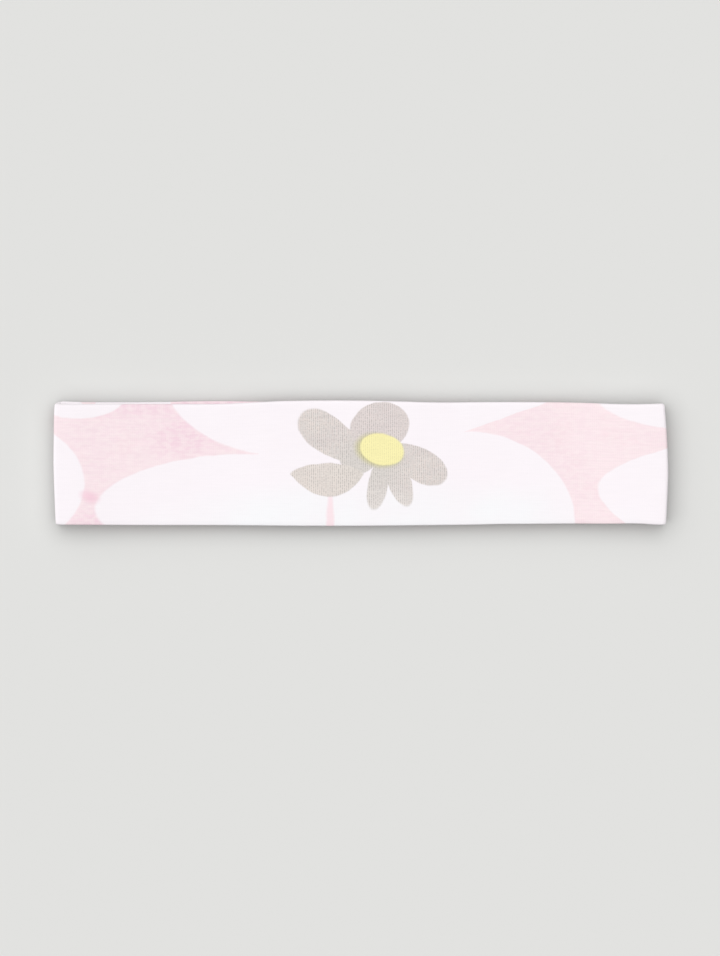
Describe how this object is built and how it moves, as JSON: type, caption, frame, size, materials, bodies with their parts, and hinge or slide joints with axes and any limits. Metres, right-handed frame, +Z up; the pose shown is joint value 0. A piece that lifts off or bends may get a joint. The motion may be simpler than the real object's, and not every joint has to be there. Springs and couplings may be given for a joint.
{
  "type": "jersey loop headband",
  "caption": "Wide printed jersey headband, a tube of cloth closed into a loop, lying flat with its front half on its back half. The loop opens into a ring.",
  "frame": {"origin": "on the surface that the band lies on, below the middle of the flat band", "axes": "+X along the band towards the join, +Y across it towards the edge with the fold, +Z up from the back half to the front half"},
  "size_m": [0.215, 0.043, 0.0049],
  "materials": {
    "printed_jersey": "matt fine cotton jersey, printed with pale pink and white watercolour petals",
    "sewing_thread": "matt spun polyester thread"
  },
  "bodies": {
    "back_centre": {"jersey_back_centre": "printed_jersey", "seam_thread_back_centre": "sewing_thread", "join_thread": "sewing_thread", "closing_stitches": "sewing_thread"},
    "back_left_1": {"jersey_back_left_1": "printed_jersey", "seam_thread_back_left_1": "sewing_thread"},
    "back_left_2": {"jersey_back_left_2": "printed_jersey", "seam_thread_back_left_2": "sewing_thread"},
    "back_left_3": {"jersey_back_left_3": "printed_jersey", "seam_thread_back_left_3": "sewing_thread"},
    "left_fold": {"jersey_left_fold": "printed_jersey", "seam_thread_left_fold": "sewing_thread"},
    "front_left_3": {"jersey_front_left_3": "printed_jersey", "seam_thread_front_left_3": "sewing_thread"},
    "front_left_2": {"jersey_front_left_2": "printed_jersey", "seam_thread_front_left_2": "sewing_thread"},
    "front_left_1": {"jersey_front_left_1": "printed_jersey", "seam_thread_front_left_1": "sewing_thread"},
    "front_centre": {"jersey_front_centre": "printed_jersey", "seam_thread_front_centre": "sewing_thread"},
    "front_right_1": {"jersey_front_right_1": "printed_jersey", "seam_thread_front_right_1": "sewing_thread"},
    "front_right_2": {"jersey_front_right_2": "printed_jersey", "seam_thread_front_right_2": "sewing_thread"},
    "front_right_3": {"jersey_front_right_3": "printed_jersey", "seam_thread_front_right_3": "sewing_thread"},
    "right_fold": {"jersey_right_fold": "printed_jersey", "seam_thread_right_fold": "sewing_thread"},
    "back_right_3": {"jersey_back_right_3": "printed_jersey", "seam_thread_back_right_3": "sewing_thread"},
    "back_right_2": {"jersey_back_right_2": "printed_jersey", "seam_thread_back_right_2": "sewing_thread"},
    "back_right_1": {"jersey_back_right_1": "printed_jersey", "seam_thread_back_right_1": "sewing_thread"}
  },
  "joints": [
    {"name": "loop_opening", "type": "hinge", "parent": "back_centre", "child": "back_left_1", "pos_m": [-0.01536, 0, 0], "axis": [0, 1, 0], "range_deg": [0, 25.7]},
    {"name": "bend_back_left_2", "type": "hinge", "parent": "back_left_1", "child": "back_left_2", "pos_m": [-0.04607, 0, 0], "axis": [0, 1, 0], "range_deg": [0, 25.7]},
    {"name": "bend_back_left_3", "type": "hinge", "parent": "back_left_2", "child": "back_left_3", "pos_m": [-0.07679, 0, 0], "axis": [0, 1, 0], "range_deg": [0, 25.7]},
    {"name": "bend_left_fold", "type": "hinge", "parent": "back_left_3", "child": "left_fold", "pos_m": [-0.1075, 0, 0], "axis": [0, 1, 0], "range_deg": [-77.1, 0]},
    {"name": "bend_front_left_3", "type": "hinge", "parent": "left_fold", "child": "front_left_3", "pos_m": [-0.1075, 0, 0.0049], "axis": [0, 1, 0], "range_deg": [-77.1, 0]},
    {"name": "bend_front_left_2", "type": "hinge", "parent": "front_left_3", "child": "front_left_2", "pos_m": [-0.07679, 0, 0.0049], "axis": [0, 1, 0], "range_deg": [0, 25.7]},
    {"name": "bend_front_left_1", "type": "hinge", "parent": "front_left_2", "child": "front_left_1", "pos_m": [-0.04607, 0, 0.0049], "axis": [0, 1, 0], "range_deg": [0, 25.7]},
    {"name": "bend_front_centre", "type": "hinge", "parent": "front_left_1", "child": "front_centre", "pos_m": [-0.01536, 0, 0.0049], "axis": [0, 1, 0], "range_deg": [0, 25.7]},
    {"name": "bend_front_right_1", "type": "hinge", "parent": "front_centre", "child": "front_right_1", "pos_m": [0.01536, 0, 0.0049], "axis": [0, 1, 0], "range_deg": [0, 25.7]},
    {"name": "bend_front_right_2", "type": "hinge", "parent": "front_right_1", "child": "front_right_2", "pos_m": [0.04607, 0, 0.0049], "axis": [0, 1, 0], "range_deg": [0, 25.7]},
    {"name": "bend_front_right_3", "type": "hinge", "parent": "front_right_2", "child": "front_right_3", "pos_m": [0.07679, 0, 0.0049], "axis": [0, 1, 0], "range_deg": [0, 25.7]},
    {"name": "bend_right_fold", "type": "hinge", "parent": "front_right_3", "child": "right_fold", "pos_m": [0.1075, 0, 0.0049], "axis": [0, 1, 0], "range_deg": [-77.1, 0]},
    {"name": "bend_back_right_3", "type": "hinge", "parent": "right_fold", "child": "back_right_3", "pos_m": [0.1075, 0, 0], "axis": [0, 1, 0], "range_deg": [-77.1, 0]},
    {"name": "bend_back_right_2", "type": "hinge", "parent": "back_right_3", "child": "back_right_2", "pos_m": [0.07679, 0, 0], "axis": [0, 1, 0], "range_deg": [0, 25.7]},
    {"name": "bend_back_right_1", "type": "hinge", "parent": "back_right_2", "child": "back_right_1", "pos_m": [0.04607, 0, 0], "axis": [0, 1, 0], "range_deg": [0, 25.7]}
  ],
  "couplings": [
    {"joint": "bend_back_left_2", "follows": "loop_opening", "ratio": 1},
    {"joint": "bend_back_left_3", "follows": "loop_opening", "ratio": 1},
    {"joint": "bend_left_fold", "follows": "loop_opening", "ratio": -3},
    {"joint": "bend_front_left_3", "follows": "loop_opening", "ratio": -3},
    {"joint": "bend_front_left_2", "follows": "loop_opening", "ratio": 1},
    {"joint": "bend_front_left_1", "follows": "loop_opening", "ratio": 1},
    {"joint": "bend_front_centre", "follows": "loop_opening", "ratio": 1},
    {"joint": "bend_front_right_1", "follows": "loop_opening", "ratio": 1},
    {"joint": "bend_front_right_2", "follows": "loop_opening", "ratio": 1},
    {"joint": "bend_front_right_3", "follows": "loop_opening", "ratio": 1},
    {"joint": "bend_right_fold", "follows": "loop_opening", "ratio": -3},
    {"joint": "bend_back_right_3", "follows": "loop_opening", "ratio": -3},
    {"joint": "bend_back_right_2", "follows": "loop_opening", "ratio": 1},
    {"joint": "bend_back_right_1", "follows": "loop_opening", "ratio": 1}
  ]
}
